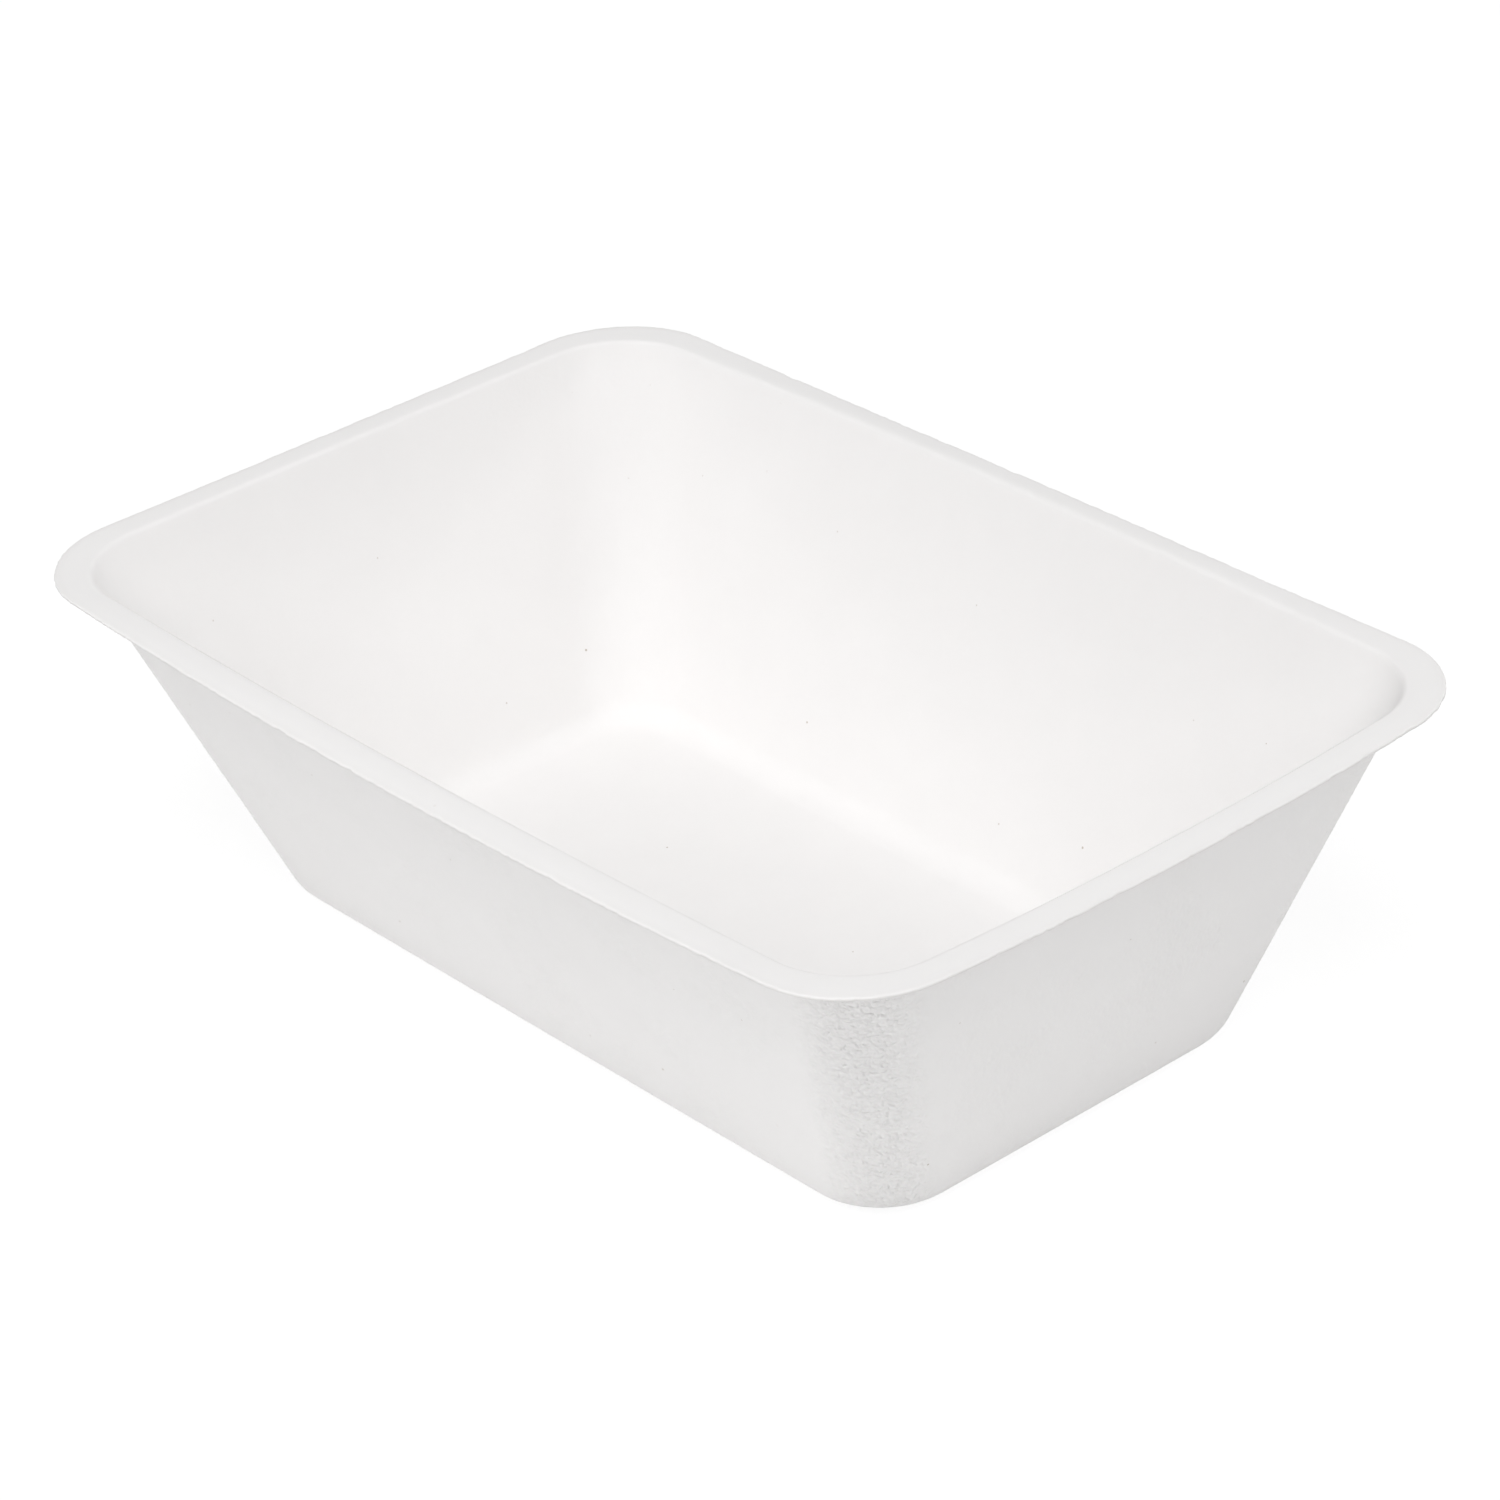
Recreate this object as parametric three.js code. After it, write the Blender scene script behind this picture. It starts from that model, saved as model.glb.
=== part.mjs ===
// Bagasse food tray: one deep rectangular tray pressed from sugarcane pulp,
// with tapered walls, a round fold into a flat base and a narrow flat flange.
// Millimetres, +Z up, X along the tray. The origin is the middle of the base's underside.

import * as THREE from 'three';

// Driving dimensions

const FLANGE_LENGTH = 185; // over the flange at the corners, along X
const FLANGE_WIDTH = 121; // over the flange at the corners, along Y
const TRAY_HEIGHT = 55; // from the base's underside to the flange's top
const SHEET_THICKNESS = 0.65; // of the pressed pulp, the same all over

const FLANGE_OVERHANG = 4.5; // from the trimmed edge in to the outer wall, along the sides
const FLANGE_CORNER_RADIUS = 17.4; // of the trimmed edge in plan
const FLANGE_EDGE_ROUND = 0.2; // on the trimmed edge, top and bottom

const WALL_DRAFT = 19.35; // how far each wall leans in on its way down to the base
const WALL_CORNER_RADIUS_AT_TOP = 15; // of the upright corners in plan, where wall and flange would meet
const WALL_CORNER_RADIUS_AT_BASE = 12.2; // of the same corners, where wall and base would meet

const LIP_RADIUS = 1; // inside, where the wall turns out into the flange
const BASE_FOLD_RADIUS = 5.2; // outside, where the wall turns in under the base

const LONG_SIDE_BOW = 1.4; // how far the middle of a long side stands out at the flange
const SHORT_SIDE_BOW = 0.9; // how far the middle of a short side stands out at the flange

const PULP_COLOUR = 0xf4f2f1;
const PULP_ROUGHNESS = 0.9;
const PULP_METALNESS = 0;

// Fineness of the facets

const CORNER_STEPS = 10; // along each rounded corner in plan
const LONG_SIDE_STEPS = 12; // along each bowed long side
const SHORT_SIDE_STEPS = 8; // along each bowed short side
const LIP_STEPS = 5; // through the fold from the wall to the flange
const BASE_FOLD_STEPS = 7; // through the fold from the wall to the base

// The wall's slope, worked out from the height and the draft

const WALL_RISE = TRAY_HEIGHT - SHEET_THICKNESS;
const WALL_ANGLE = Math.atan2(WALL_RISE, WALL_DRAFT);
const BASE_FOLD_RADIUS_INSIDE = BASE_FOLD_RADIUS - SHEET_THICKNESS;
const LIP_RADIUS_UNDERNEATH = LIP_RADIUS - SHEET_THICKNESS;

// How far a fold of the given radius reaches from the corner that it rounds.
function foldReach(radius) {
  return radius * Math.tan(WALL_ANGLE / 2);
}

// The sheet's two faces as lists of [inset, height]: inset is measured in from the
// flange's edge, and height up from the base's underside.

// The fold between a level face and the wall, from the level face to the wall.
// The corner is where both faces would meet, and inward is +1 towards the middle.
function foldPoints(corner, radius, steps, inward, upward) {
  const points = [];
  for (let step = 0; step <= steps; step += 1) {
    const turn = (WALL_ANGLE * step) / steps;
    const along = foldReach(radius) - radius * Math.sin(turn);
    const off = radius * (1 - Math.cos(turn));
    points.push([corner[0] + inward * along, corner[1] + upward * off]);
  }
  return points;
}

function outerFace() {
  const baseCorner = [FLANGE_OVERHANG + WALL_DRAFT, 0];
  const flangeCorner = [FLANGE_OVERHANG, WALL_RISE];
  const baseFold = foldPoints(baseCorner, BASE_FOLD_RADIUS, BASE_FOLD_STEPS, 1, 1);
  const lipFold = foldPoints(flangeCorner, LIP_RADIUS_UNDERNEATH, LIP_STEPS, -1, -1);
  return [...baseFold, ...lipFold.reverse()];
}

function innerFace() {
  const sheetAcrossWall = SHEET_THICKNESS * Math.tan(WALL_ANGLE / 2);
  const baseCorner = [FLANGE_OVERHANG + WALL_DRAFT + sheetAcrossWall, SHEET_THICKNESS];
  const flangeCorner = [FLANGE_OVERHANG + sheetAcrossWall, TRAY_HEIGHT];
  const lipFold = foldPoints(flangeCorner, LIP_RADIUS, LIP_STEPS, -1, -1);
  const baseFold = foldPoints(baseCorner, BASE_FOLD_RADIUS_INSIDE, BASE_FOLD_STEPS, 1, 1);
  return [...lipFold, ...baseFold.reverse()];
}

function trimmedEdge() {
  return [
    [FLANGE_EDGE_ROUND, WALL_RISE],
    [0, WALL_RISE + FLANGE_EDGE_ROUND],
    [0, TRAY_HEIGHT - FLANGE_EDGE_ROUND],
    [FLANGE_EDGE_ROUND, TRAY_HEIGHT],
  ];
}

// Corner radius in plan: from the flange's at the trimmed edge to the wall's at the top,
// so that the flange is a little wider at the corners, and then evenly down to the base.
function cornerRadius(inset, height) {
  const wider = WALL_CORNER_RADIUS_AT_TOP - (FLANGE_CORNER_RADIUS - FLANGE_OVERHANG);
  const acrossFlange = Math.min(1, inset / FLANGE_OVERHANG);
  const downWall = Math.min(1, Math.max(0, (WALL_RISE - height) / WALL_RISE));
  const shrink = WALL_CORNER_RADIUS_AT_BASE - WALL_CORNER_RADIUS_AT_TOP + WALL_DRAFT;
  return FLANGE_CORNER_RADIUS - inset + wider * acrossFlange + shrink * downWall;
}

// One closed ring around the tray, counter-clockwise seen from above.
function ring([inset, height]) {
  const halfLength = FLANGE_LENGTH / 2 - inset;
  const halfWidth = FLANGE_WIDTH / 2 - inset;
  const radius = cornerRadius(inset, height);
  const bowShare = Math.min(1, Math.max(0, height / WALL_RISE));
  const points = [];

  // One side, as seen from the middle: along runs with the ring, out is away from the middle.
  function addSide(angle, halfAlong, halfOut, bow, steps) {
    const straight = halfAlong - radius;
    const along = new THREE.Vector2(-Math.sin(angle), Math.cos(angle));
    const out = new THREE.Vector2(Math.cos(angle), Math.sin(angle));
    for (let step = 0; step < steps; step += 1) {
      const share = (2 * step) / steps - 1;
      const point = out.clone().multiplyScalar(halfOut + bow * bowShare * (1 - share * share));
      points.push(point.addScaledVector(along, straight * share));
    }
    const centre = out.clone().multiplyScalar(halfOut - radius).addScaledVector(along, straight);
    for (let step = 0; step < CORNER_STEPS; step += 1) {
      const turn = angle + (Math.PI / 2) * (step / CORNER_STEPS);
      points.push(new THREE.Vector2(Math.cos(turn), Math.sin(turn)).multiplyScalar(radius).add(centre));
    }
  }

  addSide(0, halfWidth, halfLength, SHORT_SIDE_BOW, SHORT_SIDE_STEPS);
  addSide(Math.PI / 2, halfLength, halfWidth, LONG_SIDE_BOW, LONG_SIDE_STEPS);
  addSide(Math.PI, halfWidth, halfLength, SHORT_SIDE_BOW, SHORT_SIDE_STEPS);
  addSide((3 * Math.PI) / 2, halfLength, halfWidth, LONG_SIDE_BOW, LONG_SIDE_STEPS);
  return points.map((point) => new THREE.Vector3(point.x, point.y, height));
}

// A closed body from rings that run from the underside out, over the edge and in again.
function loftBetweenRings(rings) {
  const count = rings[0].length;
  const positions = rings.flat().flatMap((point) => [point.x, point.y, point.z]);
  const triangles = [];
  for (let level = 0; level + 1 < rings.length; level += 1) {
    for (let place = 0; place < count; place += 1) {
      const next = (place + 1) % count;
      const lower = level * count;
      const upper = lower + count;
      triangles.push(lower + place, lower + next, upper + next);
      triangles.push(lower + place, upper + next, upper + place);
    }
  }
  const underside = THREE.ShapeUtils.triangulateShape(rings[0], []);
  const floor = THREE.ShapeUtils.triangulateShape(rings[rings.length - 1], []);
  const floorStart = (rings.length - 1) * count;
  underside.forEach(([a, b, c]) => triangles.push(a, c, b));
  floor.forEach(([a, b, c]) => triangles.push(floorStart + a, floorStart + b, floorStart + c));
  const geometry = new THREE.BufferGeometry();
  geometry.setAttribute('position', new THREE.Float32BufferAttribute(positions, 3));
  geometry.setIndex(triangles);
  geometry.computeVertexNormals();
  return geometry;
}

function makeTray() {
  const section = [...outerFace(), ...trimmedEdge(), ...innerFace()];
  const material = new THREE.MeshStandardMaterial({
    color: PULP_COLOUR,
    roughness: PULP_ROUGHNESS,
    metalness: PULP_METALNESS,
  });
  const tray = new THREE.Mesh(loftBetweenRings(section.map(ring)), material);
  tray.name = 'tray';
  return tray;
}

const foodTray = new THREE.Group();
foodTray.add(makeTray());

export default foodTray;
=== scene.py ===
import math

import bpy
from mathutils import Matrix, Vector, noise


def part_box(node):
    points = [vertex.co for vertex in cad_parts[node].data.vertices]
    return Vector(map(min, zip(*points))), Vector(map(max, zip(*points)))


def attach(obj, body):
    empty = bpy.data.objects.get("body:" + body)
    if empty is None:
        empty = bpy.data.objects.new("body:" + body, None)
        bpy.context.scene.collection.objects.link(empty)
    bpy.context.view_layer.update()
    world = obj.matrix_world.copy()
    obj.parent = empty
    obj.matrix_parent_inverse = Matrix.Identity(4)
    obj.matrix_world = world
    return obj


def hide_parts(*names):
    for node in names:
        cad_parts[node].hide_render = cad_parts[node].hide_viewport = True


MM = 0.001

# Section of the pressed sheet

SHEET_THICKNESS = 0.65 * MM
FLANGE_OVERHANG = 4.5 * MM  # from the trimmed edge in to the outer wall
FLANGE_CORNER_RADIUS = 17.4 * MM
EDGE_ROUND = 0.26 * MM
WALL_DRAFT = 19.35 * MM  # how far each wall leans in on its way down
WALL_CORNER_RADIUS_AT_TOP = 15 * MM
WALL_CORNER_RADIUS_AT_BASE = 12.2 * MM
LEAST_CORNER_RADIUS = 0.4 * MM
LIP_RADIUS = 1.0 * MM  # inside, from the wall to the flange
BASE_FOLD_RADIUS = 5.2 * MM  # outside, from the wall to the underside

# Rim: the middle of a side stands out by the bow, its lip sinks by the sag,
# and its trimmed edge hangs down from the lip by the droop

LONG_SIDE_BOW = 1.4 * MM
SHORT_SIDE_BOW = 0.9 * MM
SHORT_SIDE_SAG = 0.37 * MM
SAG_EXPONENT = 2.6  # a high one keeps the sag and the droop even up to the corners
SAG_FADE = 3  # how fast the sag dies out on the way down
LONG_SIDE_DROOP = 0.95 * MM
SHORT_SIDE_DROOP = 0.2 * MM
DROOP_CURVE = 1.4

# Fineness of the mesh

CORNER_STEPS = 40
LONG_SIDE_STEPS = 240
SHORT_SIDE_STEPS = 156
WALL_STEPS = 12
FLANGE_STEPS = 4
EDGE_STEPS = 3
LIP_STEPS = 7
FOLD_STEPS = 10
LEVEL_STEPS = 7
LEVEL_STEPS_LEFT_OUT = 2  # next to the middle, where a fan closes the face

# Unevenness of the pressed pulp

SHEET_WAVE_HEIGHT = 0.06 * MM
SHEET_WAVE_LENGTH = 30 * MM
TRIM_RAGGEDNESS = 0.2 * MM
TRIM_WAVE_LENGTH = 4.0 * MM
TRIM_NICK_LENGTH = 0.9 * MM
TRIM_LEAN = 0.3  # share of the height that turns the nicks away from upright
TRIM_CUT_LEVEL = 0.25  # the trim is cut back wherever the noise lies below this

# Finish of the pulp. A scale is per metre, and a range holds the values that give 0 and 1.

PULP_COLOUR_LOW = (0.896, 0.885, 0.880, 1)
PULP_COLOUR_HIGH = (0.906, 0.895, 0.890, 1)
PULP_COLOUR_SCALE = 90.0
PULP_COLOUR_RANGE = (0.3, 0.7)
PULP_ROUGHNESS = 0.82
PULP_SPECULAR = 0.3
# Trimmed edge: darker cut fibre, and partly painted shade that keeps the edge from looking lit;
# only a share of it on the top face
TRIM_TONE_AND_SHADE_COLOUR = (0.79, 0.775, 0.765, 1)
TRIM_TONE_AND_SHADE_SHARE_ON_TOP = 0.2
SPECK_COLOUR = (0.60, 0.55, 0.50, 1)
SPECK_SPACING = 15 * MM
SPECK_RADIUS = 0.24 * MM
SPECK_CHOICE_RANGE = (0.6, 1.0)
SPECK_FACING_RANGE = (0.6, 0.65)

# Marks of the forming screen and fibre grain

SCREEN_MARK_SIZE = 0.68 * MM
SCREEN_MARK_RANGE = (0.3, 0.7)
CORNER_MARK_RANGE = (0.1, 0.95)
CORNER_MARK_START = 1.5 * MM  # height where the marks of the upright corners are in full
FLAT_MARK_SHARE = 0.3
FLAT_MARK_SCALE = 60.0
FLAT_MARK_RANGE = (0.4, 0.65)
# Painted shade in the pits of the screen's marks: the colour darkens where the marks are low
PIT_SHADOW_COLOUR = (0.55, 0.52, 0.50, 1)
PIT_SHADOW_AMOUNT = 0.02
FIBRE_GRAIN_SHARE = 0.05
FIBRE_GRAIN_SCALE = 1400.0
RELIEF_HEIGHT = 0.3 * MM

# Studio light: name, azimuth from +X, elevation and power of each round softbox

SOFTBOX_DISTANCE = 2.6
SOFTBOX_SIZE = 1.6
SOFTBOXES = [
    ("low_back", 90, 8, 20.5),
    ("low_left", 225, 8, 4.6),
    ("low_front", 270, 8, 3.4),
    ("right", 45, 35, 17.2),
    ("left", 225, 35, 9.9),
    ("front_left", 270, 35, 4.6),
    ("front", 315, 35, 16.1),
    ("high_left", 270, 65, 9.8),
    ("high_front", 315, 65, 28.2),
]

# Floor and background

FLOOR_COLOUR = (0.8, 0.8, 0.8, 1)
FLOOR_GLOW = 0.165  # lights the object from below
FLOOR_WHITE_STRENGTH = 1.13  # seen by the camera alone
FLOOR_WHITE_SHARE = 0.78
FLOOR_HALF_SIZE = 3.0
FLOOR_DROP = 0.05 * MM
WHITE = (1, 1, 1, 1)

# Camera, fitted to the photograph's 1500 by 1500 frame

CAMERA_YAW = math.radians(140.592)
CAMERA_PITCH = math.radians(29.482)
CAMERA_ROLL = math.radians(-4.031)
CAMERA_RIGHT = -3.715 * MM
CAMERA_DOWN = -18.402 * MM
CAMERA_DISTANCE = 728.58 * MM
CAMERA_LENS_MM = 122.625
SENSOR_WIDTH_MM = 36.0

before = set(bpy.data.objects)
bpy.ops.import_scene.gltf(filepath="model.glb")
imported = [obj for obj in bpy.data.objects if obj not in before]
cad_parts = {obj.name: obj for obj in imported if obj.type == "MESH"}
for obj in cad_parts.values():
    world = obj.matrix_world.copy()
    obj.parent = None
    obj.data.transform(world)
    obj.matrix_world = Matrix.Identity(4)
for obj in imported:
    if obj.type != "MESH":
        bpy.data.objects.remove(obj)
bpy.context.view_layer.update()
tray_low, tray_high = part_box("tray")
TRAY_HEIGHT = tray_high.z - tray_low.z
HALF_LENGTH = (tray_high.x - tray_low.x) / 2 - SHORT_SIDE_BOW
HALF_WIDTH = (tray_high.y - tray_low.y) / 2 - LONG_SIDE_BOW
WALL_RISE = TRAY_HEIGHT - SHEET_THICKNESS
WALL_ANGLE = math.atan2(WALL_RISE, WALL_DRAFT)
FLANGE_FLAT = FLANGE_OVERHANG - (LIP_RADIUS - SHEET_THICKNESS) * math.tan(WALL_ANGLE / 2)


def fold_reach(radius):
    """How far a fold reaches from the corner that it rounds."""
    return radius * math.tan(WALL_ANGLE / 2)


def fold_points(corner, radius, steps, inward, upward):
    """The fold from a level face to the wall, as (inset, height)."""
    points = []
    for step in range(steps + 1):
        turn = WALL_ANGLE * step / steps
        along = fold_reach(radius) - radius * math.sin(turn)
        off = radius * (1 - math.cos(turn))
        points.append((corner[0] + inward * along, corner[1] + upward * off))
    return points


def between(start, end, steps):
    """Evenly spaced points from start to end, both left out."""
    shares = [step / steps for step in range(1, steps)]
    return [
        (start[0] + (end[0] - start[0]) * share, start[1] + (end[1] - start[1]) * share)
        for share in shares
    ]


def outer_section():
    """The sheet's lower face, from the underside out to the trimmed edge."""
    base_corner = (FLANGE_OVERHANG + WALL_DRAFT, 0)
    flange_corner = (FLANGE_OVERHANG, WALL_RISE)
    base_fold = fold_points(base_corner, BASE_FOLD_RADIUS, FOLD_STEPS, 1, 1)
    lip = fold_points(flange_corner, LIP_RADIUS - SHEET_THICKNESS, LIP_STEPS, -1, -1)[::-1]
    level = between((HALF_WIDTH, 0), base_fold[0], LEVEL_STEPS)[LEVEL_STEPS_LEFT_OUT:]
    wall = between(base_fold[-1], lip[0], WALL_STEPS)
    flange = between(lip[-1], (EDGE_ROUND, WALL_RISE), FLANGE_STEPS)
    return level + base_fold + wall + lip + flange


def edge_section():
    """The trimmed edge, rounded below and above."""
    points = []
    for step in range(EDGE_STEPS + 1):
        turn = math.pi / 2 * step / EDGE_STEPS
        reach = EDGE_ROUND * (1 - math.sin(turn))
        points.append((reach, WALL_RISE + EDGE_ROUND * (1 - math.cos(turn))))
    upper = [(inset, TRAY_HEIGHT - (height - WALL_RISE)) for inset, height in reversed(points)]
    return points + upper


def inner_section():
    """The sheet's upper face, from the trimmed edge in to the floor of the tray."""
    across = SHEET_THICKNESS * math.tan(WALL_ANGLE / 2)
    base_corner = (FLANGE_OVERHANG + WALL_DRAFT + across, SHEET_THICKNESS)
    lip = fold_points((FLANGE_OVERHANG + across, TRAY_HEIGHT), LIP_RADIUS, LIP_STEPS, -1, -1)
    fold_radius = BASE_FOLD_RADIUS - SHEET_THICKNESS
    fold = fold_points(base_corner, fold_radius, FOLD_STEPS, 1, 1)[::-1]
    flange = between((EDGE_ROUND, TRAY_HEIGHT), lip[0], FLANGE_STEPS)
    wall = between(lip[-1], fold[0], WALL_STEPS)
    middle = (HALF_WIDTH, SHEET_THICKNESS)
    level = between(fold[-1], middle, LEVEL_STEPS)[:-LEVEL_STEPS_LEFT_OUT]
    return flange + lip + wall + fold + level


def corner_radius(inset, height):
    """Radius of the upright corners in plan, from the trimmed edge down to the base."""
    wider = WALL_CORNER_RADIUS_AT_TOP - (FLANGE_CORNER_RADIUS - FLANGE_OVERHANG)
    across_flange = min(1, inset / FLANGE_OVERHANG)
    down_wall = min(1, max(0, (WALL_RISE - height) / WALL_RISE))
    shrink = WALL_CORNER_RADIUS_AT_BASE - WALL_CORNER_RADIUS_AT_TOP + WALL_DRAFT
    radius = FLANGE_CORNER_RADIUS - inset + wider * across_flange + shrink * down_wall
    return max(LEAST_CORNER_RADIUS, radius)


def ring(inset, height):
    """Points round the tray, and how strong the screen's corner marks are at each."""
    radius = corner_radius(inset, height)
    rise = min(1, max(0, height / WALL_RISE))
    outwardness = max(0, 1 - inset / FLANGE_FLAT) ** DROOP_CURVE
    points, corners = [], []
    short_side = (SHORT_SIDE_BOW, SHORT_SIDE_SAG, SHORT_SIDE_DROOP, SHORT_SIDE_STEPS)
    long_side = (LONG_SIDE_BOW, 0, LONG_SIDE_DROOP, LONG_SIDE_STEPS)
    sides = [(HALF_WIDTH, HALF_LENGTH, short_side), (HALF_LENGTH, HALF_WIDTH, long_side)] * 2
    for quarter, (half_along, half_out, (bow, sag, droop, steps)) in enumerate(sides):
        angle = quarter * math.pi / 2
        out = Vector((math.cos(angle), math.sin(angle), 0))
        along = Vector((-math.sin(angle), math.cos(angle), 0))
        straight = half_along - inset - radius
        for step in range(steps):
            share = 2 * step / steps - 1
            belly = 1 - share * share
            point = out * (half_out - inset + bow * belly * rise) + along * straight * share
            middle = 1 - abs(share) ** SAG_EXPONENT
            point.z = height - middle * (sag * rise ** SAG_FADE + droop * outwardness)
            points.append(point)
            corners.append(0.0)
        centre = out * (half_out - inset - radius) + along * straight
        for step in range(CORNER_STEPS):
            turn = angle + math.pi / 2 * step / CORNER_STEPS
            point = centre + Vector((math.cos(turn), math.sin(turn), 0)) * radius
            point.z = height
            points.append(point)
            into_corner = math.sin(math.pi * step / CORNER_STEPS)
            corners.append(into_corner * min(1, height / CORNER_MARK_START))
    return points, corners


def trim_point(point, height):
    """Moves a point of the trimmed edge in, so that the trim is ragged and its nicks lean."""
    level = Vector((point.x, point.y, TRIM_LEAN * height))
    slow, quick = noise.noise(level / TRIM_WAVE_LENGTH), noise.noise(level / TRIM_NICK_LENGTH)
    outward = Vector((point.x / HALF_LENGTH, point.y / HALF_WIDTH, 0)).normalized()
    point += outward * TRIM_RAGGEDNESS * min(0, slow + quick - TRIM_CUT_LEVEL)


def shell_points(outer, edge, inner):
    """Points of all rings, the two middles last, and the values that the material reads."""
    positions = []
    values = {"corner": [], "outside": [], "edge_tone_and_shade": []}
    for index, (inset, height) in enumerate(outer + edge + inner):
        points, corners = ring(inset, height)
        on_edge = len(outer) <= index < len(outer) + len(edge)
        below_top = height < TRAY_HEIGHT - EDGE_ROUND / 2
        edge_tone_and_shade = 0.0
        if on_edge:
            # the edge's darker colour is partly painted shade
            edge_tone_and_shade = 1.0 if below_top else TRIM_TONE_AND_SHADE_SHARE_ON_TOP
            for point in points:
                trim_point(point, height)
        positions += points
        values["corner"] += corners
        values["outside"] += [1.0 if index < len(outer) else 0.0] * len(points)
        values["edge_tone_and_shade"] += [edge_tone_and_shade] * len(points)
    positions += [Vector((0, 0, 0)), Vector((0, 0, SHEET_THICKNESS))]
    values["corner"] += [0.0, 0.0]
    values["outside"] += [1.0, 0.0]
    values["edge_tone_and_shade"] += [0.0, 0.0]
    return positions, values


def shell_faces(rings, count):
    """Quads from ring to ring, and a fan to the middle of the underside and of the floor."""
    faces = []
    for level in range(rings - 1):
        for place in range(count):
            after = (place + 1) % count
            low, high = level * count, (level + 1) * count
            faces.append((low + place, low + after, high + after, high + place))
    last = (rings - 1) * count
    underside, floor = rings * count, rings * count + 1
    for place in range(count):
        after = (place + 1) % count
        faces.append((underside, after, place))
        faces.append((floor, last + place, last + after))
    return faces


def make_tray():
    outer, edge, inner = outer_section(), edge_section(), inner_section()
    positions, values = shell_points(outer, edge, inner)
    rings = len(outer) + len(edge) + len(inner)
    mesh = bpy.data.meshes.new("tray_shell")
    faces = shell_faces(rings, (len(positions) - 2) // rings)
    mesh.from_pydata([tuple(point) for point in positions], [], faces)
    mesh.update()
    wave_sheet(mesh)
    for name, numbers in values.items():
        attribute = mesh.attributes.new(name, "FLOAT", "POINT")
        attribute.data.foreach_set("value", numbers)
    mesh.polygons.foreach_set("use_smooth", [True] * len(mesh.polygons))
    tray = bpy.data.objects.new("tray_shell", mesh)
    bpy.context.scene.collection.objects.link(tray)
    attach(tray, "root")
    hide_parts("tray")
    return tray


def wave_sheet(mesh):
    """Moves both faces of the sheet together, by a slow wave that dies out at both ends."""
    for vertex in mesh.vertices:
        height = vertex.co.z / TRAY_HEIGHT
        amount = SHEET_WAVE_HEIGHT * max(0, 4 * height * (1 - height))
        outward = Vector((vertex.co.x, vertex.co.y, 0))
        if amount > 0 and outward.length > 0:
            wave = noise.noise(vertex.co / SHEET_WAVE_LENGTH)
            vertex.co += outward.normalized() * amount * wave


def node(tree, kind, **settings):
    made = tree.nodes.new(kind)
    for name, value in settings.items():
        setattr(made, name, value)
    return made


def set_inputs(made, **values):
    for name, value in values.items():
        made.inputs[name.replace("_", " ")].default_value = value


def math_node(tree, operation, first, second=None):
    made = node(tree, "ShaderNodeMath", operation=operation)
    for socket, value in zip(made.inputs, (first, second)):
        if value is None:
            continue
        if isinstance(value, (int, float)):
            socket.default_value = value
        else:
            tree.links.new(value, socket)
    return made.outputs[0]


def attribute_value(tree, name):
    return node(tree, "ShaderNodeAttribute", attribute_name=name).outputs["Fac"]


def ramp(tree, value, low, high):
    """0 where the value is below low, 1 where it is above high, and even in between."""
    made = node(tree, "ShaderNodeMapRange", clamp=True)
    set_inputs(made, From_Min=low, From_Max=high)
    tree.links.new(value, made.inputs["Value"])
    return made.outputs["Result"]


def noise_field(tree, place, scale, detail=3.0, roughness=0.55):
    made = node(tree, "ShaderNodeTexNoise")
    set_inputs(made, Scale=scale, Detail=detail, Roughness=roughness)
    tree.links.new(place, made.inputs["Vector"])
    return made.outputs["Fac"]


def specks(tree, place):
    """Small bits of darker fibre, scattered over each face: 1 in a speck and 0 beside it."""
    axes = node(tree, "ShaderNodeSeparateXYZ")
    tree.links.new(place, axes.inputs[0])
    normal = node(tree, "ShaderNodeSeparateXYZ")
    tree.links.new(node(tree, "ShaderNodeTexCoord").outputs["Normal"], normal.inputs[0])
    total = None
    for first, second, facing in (("X", "Y", "Z"), ("X", "Z", "Y"), ("Y", "Z", "X")):
        flat = node(tree, "ShaderNodeCombineXYZ")
        tree.links.new(axes.outputs[first], flat.inputs["X"])
        tree.links.new(axes.outputs[second], flat.inputs["Y"])
        cells = node(tree, "ShaderNodeTexVoronoi", voronoi_dimensions="2D")
        set_inputs(cells, Scale=1 / SPECK_SPACING)
        tree.links.new(flat.outputs[0], cells.inputs["Vector"])
        pick = node(tree, "ShaderNodeSeparateColor")
        tree.links.new(cells.outputs["Color"], pick.inputs[0])
        chosen = ramp(tree, pick.outputs["Red"], *SPECK_CHOICE_RANGE)
        size = math_node(tree, "MULTIPLY", pick.outputs["Green"], SPECK_RADIUS / SPECK_SPACING)
        near = math_node(tree, "LESS_THAN", cells.outputs["Distance"], size)
        turned = math_node(tree, "ABSOLUTE", normal.outputs[facing])
        faces = ramp(tree, turned, *SPECK_FACING_RANGE)
        mark = math_node(tree, "MULTIPLY", math_node(tree, "MULTIPLY", near, chosen), faces)
        total = mark if total is None else math_node(tree, "ADD", total, mark)
    return total


def screen_marks(tree, place):
    """Worm-like marks of the forming screen, and how strong they are at each place outside."""
    worms = noise_field(tree, place, 1 / SCREEN_MARK_SIZE, detail=0.6, roughness=0.5)
    marks = ramp(tree, worms, *SCREEN_MARK_RANGE)
    at_corner = ramp(tree, attribute_value(tree, "corner"), *CORNER_MARK_RANGE)
    patches = ramp(tree, noise_field(tree, place, FLAT_MARK_SCALE, detail=2.0), *FLAT_MARK_RANGE)
    on_flats = math_node(tree, "MULTIPLY", patches, FLAT_MARK_SHARE)
    strength = math_node(tree, "MAXIMUM", at_corner, on_flats)
    return marks, math_node(tree, "MULTIPLY", strength, attribute_value(tree, "outside"))


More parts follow.
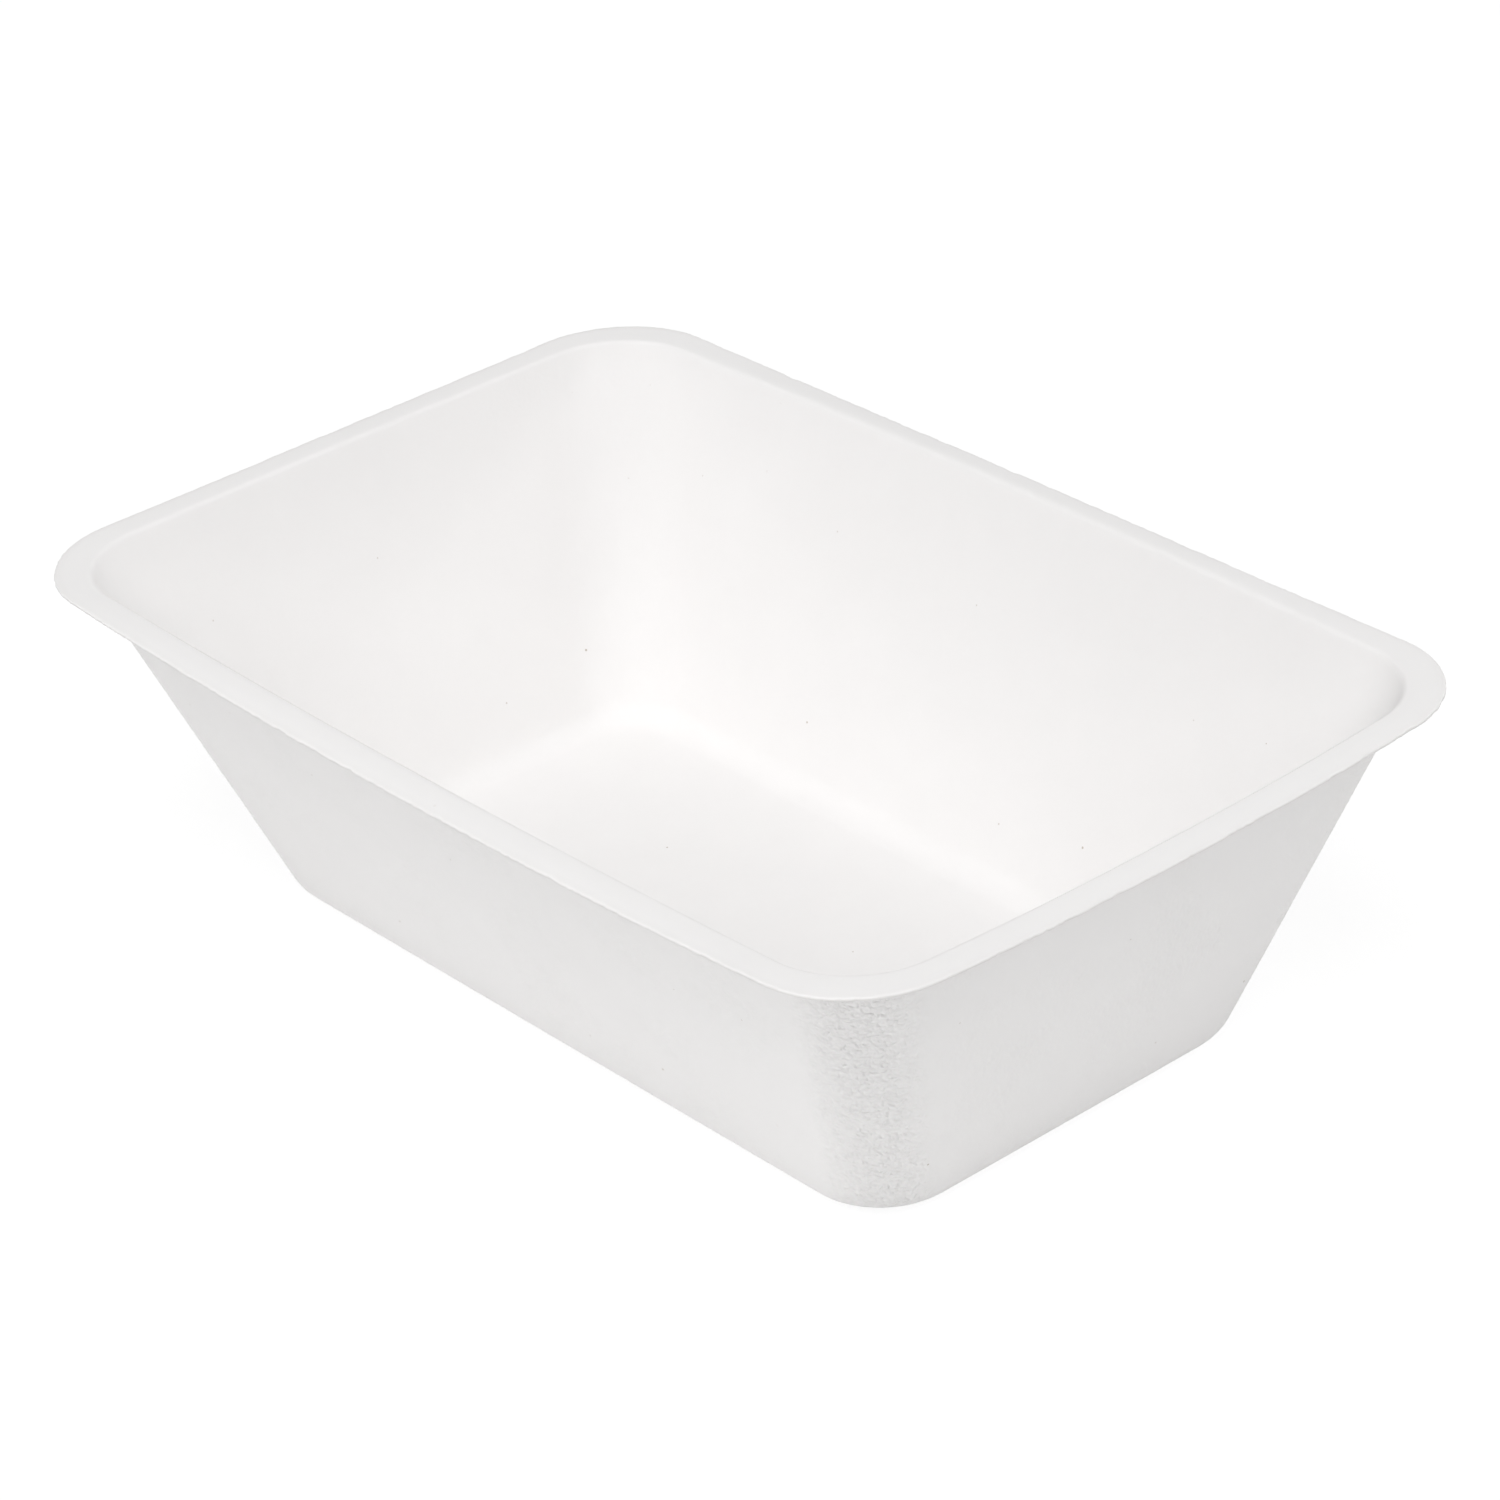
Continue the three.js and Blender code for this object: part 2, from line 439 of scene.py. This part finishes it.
def pulp_colour(tree, place, marks, strength):
    """Off-white, slightly uneven, with specks, a darker trimmed edge that is partly painted
    shade, and painted shade in the marks' pits.
    """
    uneven = noise_field(tree, place, PULP_COLOUR_SCALE, detail=4.0, roughness=0.6)
    # painted shade, darkest in the marks' pits and where the marks are strong
    pit_shadow = math_node(tree, "SUBTRACT", 1.0, marks)
    pit_shadow = math_node(tree, "MULTIPLY", pit_shadow, math_node(tree, "MULTIPLY", strength, PIT_SHADOW_AMOUNT))
    layers = (
        (ramp(tree, uneven, *PULP_COLOUR_RANGE), PULP_COLOUR_HIGH),
        # the trimmed edge: darker cut fibre, and partly painted shade
        (attribute_value(tree, "edge_tone_and_shade"), TRIM_TONE_AND_SHADE_COLOUR),
        (specks(tree, place), SPECK_COLOUR),
        # painted shade in the pits of the marks
        (pit_shadow, PIT_SHADOW_COLOUR),
    )
    below = None
    for amount, colour in layers:
        mixed = node(tree, "ShaderNodeMix", data_type="RGBA")
        tree.links.new(amount, mixed.inputs["Factor"])
        if below is None:
            mixed.inputs["A"].default_value = PULP_COLOUR_LOW
        else:
            tree.links.new(below, mixed.inputs["A"])
        mixed.inputs["B"].default_value = colour
        below = mixed.outputs["Result"]
    return below


def pulp_relief(tree, place, marks, strength):
    """Height of the surface: the screen's marks outside, and a faint fibre grain all over."""
    screen = math_node(tree, "MULTIPLY", marks, strength)
    fibres = noise_field(tree, place, FIBRE_GRAIN_SCALE)
    return math_node(tree, "ADD", screen, math_node(tree, "MULTIPLY", fibres, FIBRE_GRAIN_SHARE))


def pulp_material():
    material = bpy.data.materials.new("pulp")
    material.use_nodes = True
    tree = material.node_tree
    shader = tree.nodes["Principled BSDF"]
    set_inputs(shader, Roughness=PULP_ROUGHNESS, Specular_IOR_Level=PULP_SPECULAR)
    place = node(tree, "ShaderNodeTexCoord").outputs["Object"]
    marks, strength = screen_marks(tree, place)
    tree.links.new(pulp_colour(tree, place, marks, strength), shader.inputs["Base Color"])
    bump = node(tree, "ShaderNodeBump")
    set_inputs(bump, Distance=RELIEF_HEIGHT, Strength=1.0)
    tree.links.new(pulp_relief(tree, place, marks, strength), bump.inputs["Height"])
    tree.links.new(bump.outputs["Normal"], shader.inputs["Normal"])
    return material


def mix_shaders(tree, first, second, share):
    """The first shader where the share is 0 and the second where it is 1."""
    made = node(tree, "ShaderNodeMixShader")
    if isinstance(share, float):
        made.inputs["Fac"].default_value = share
    else:
        tree.links.new(share, made.inputs["Fac"])
    tree.links.new(first, made.inputs[1])
    tree.links.new(second, made.inputs[2])
    return made.outputs[0]


def emission(tree, strength):
    made = node(tree, "ShaderNodeEmission")
    set_inputs(made, Strength=strength)
    return made.outputs[0]


def floor_material():
    """Pale and matt. The camera sees it nearly white, with some of its shading for the shadow. To
    all other rays it also glows a little, a glow that lights the object from below though the
    floor is no lamp.
    """
    material = bpy.data.materials.new("studio_floor")
    material.use_nodes = True
    tree = material.node_tree
    tree.nodes.clear()
    paint = node(tree, "ShaderNodeBsdfDiffuse")
    set_inputs(paint, Color=FLOOR_COLOUR)
    white = emission(tree, FLOOR_WHITE_STRENGTH)
    seen = mix_shaders(tree, paint.outputs[0], white, FLOOR_WHITE_SHARE)
    lit = node(tree, "ShaderNodeAddShader")
    tree.links.new(paint.outputs[0], lit.inputs[0])
    tree.links.new(emission(tree, FLOOR_GLOW), lit.inputs[1])
    camera_ray = node(tree, "ShaderNodeLightPath").outputs["Is Camera Ray"]
    output = node(tree, "ShaderNodeOutputMaterial")
    surface = mix_shaders(tree, lit.outputs[0], seen, camera_ray)
    tree.links.new(surface, output.inputs["Surface"])
    return material


def make_floor():
    side = FLOOR_HALF_SIZE
    mesh = bpy.data.meshes.new("floor")
    corners = [(-side, -side), (side, -side), (side, side), (-side, side)]
    mesh.from_pydata([(x, y, -FLOOR_DROP) for x, y in corners], [], [(0, 1, 2, 3)])
    mesh.materials.append(floor_material())
    floor = bpy.data.objects.new("floor", mesh)
    bpy.context.scene.collection.objects.link(floor)


def add_softbox(name, azimuth, elevation, power):
    """A round softbox that faces the middle of the tray."""
    turn, lift = math.radians(azimuth), math.radians(elevation)
    level = SOFTBOX_DISTANCE * math.cos(lift)
    height = SOFTBOX_DISTANCE * math.sin(lift) + TRAY_HEIGHT
    place = Vector((level * math.cos(turn), level * math.sin(turn), height))
    target = Vector((0, 0, TRAY_HEIGHT / 2))
    lamp = bpy.data.lights.new(name, "AREA")
    lamp.shape = "DISK"
    lamp.size = SOFTBOX_SIZE
    lamp.energy = power
    holder = bpy.data.objects.new(name, lamp)
    holder.location = place
    holder.rotation_euler = (target - place).to_track_quat("-Z", "Y").to_euler()
    bpy.context.scene.collection.objects.link(holder)


def make_light():
    """Softboxes, and a white background that lights nothing but reflections."""
    world = bpy.data.worlds.new("studio")
    bpy.context.scene.world = world
    world.use_nodes = True
    tree = world.node_tree
    tree.nodes.clear()
    white = node(tree, "ShaderNodeBackground")
    set_inputs(white, Color=WHITE)
    rays = node(tree, "ShaderNodeLightPath").outputs
    seen = math_node(tree, "MAXIMUM", rays["Is Camera Ray"], rays["Is Glossy Ray"])
    seen = math_node(tree, "MAXIMUM", seen, rays["Is Transmission Ray"])
    tree.links.new(seen, white.inputs["Strength"])
    output = node(tree, "ShaderNodeOutputWorld")
    tree.links.new(white.outputs[0], output.inputs["Surface"])
    for softbox in SOFTBOXES:
        add_softbox(*softbox)


def make_camera():
    lens = bpy.data.cameras.new("camera")
    lens.lens = CAMERA_LENS_MM
    lens.sensor_width = SENSOR_WIDTH_MM
    forward = Vector((
        math.cos(CAMERA_PITCH) * math.cos(CAMERA_YAW),
        math.cos(CAMERA_PITCH) * math.sin(CAMERA_YAW),
        -math.sin(CAMERA_PITCH),
    ))
    level_right = forward.cross(Vector((0, 0, 1))).normalized()
    level_down = forward.cross(level_right)
    right = level_right * math.cos(CAMERA_ROLL) - level_down * math.sin(CAMERA_ROLL)
    down = level_right * math.sin(CAMERA_ROLL) + level_down * math.cos(CAMERA_ROLL)
    mouth = Vector((0, 0, TRAY_HEIGHT))
    place = mouth - right * CAMERA_RIGHT - down * CAMERA_DOWN - forward * CAMERA_DISTANCE
    camera = bpy.data.objects.new("camera", lens)
    axes = Matrix((right, -down, -forward)).transposed()
    camera.matrix_world = Matrix.Translation(place) @ axes.to_4x4()
    bpy.context.scene.collection.objects.link(camera)
    bpy.context.scene.camera = camera


tray = make_tray()
tray.data.materials.append(pulp_material())
make_floor()
make_light()
make_camera()
bpy.context.scene.view_settings.view_transform = "Standard"
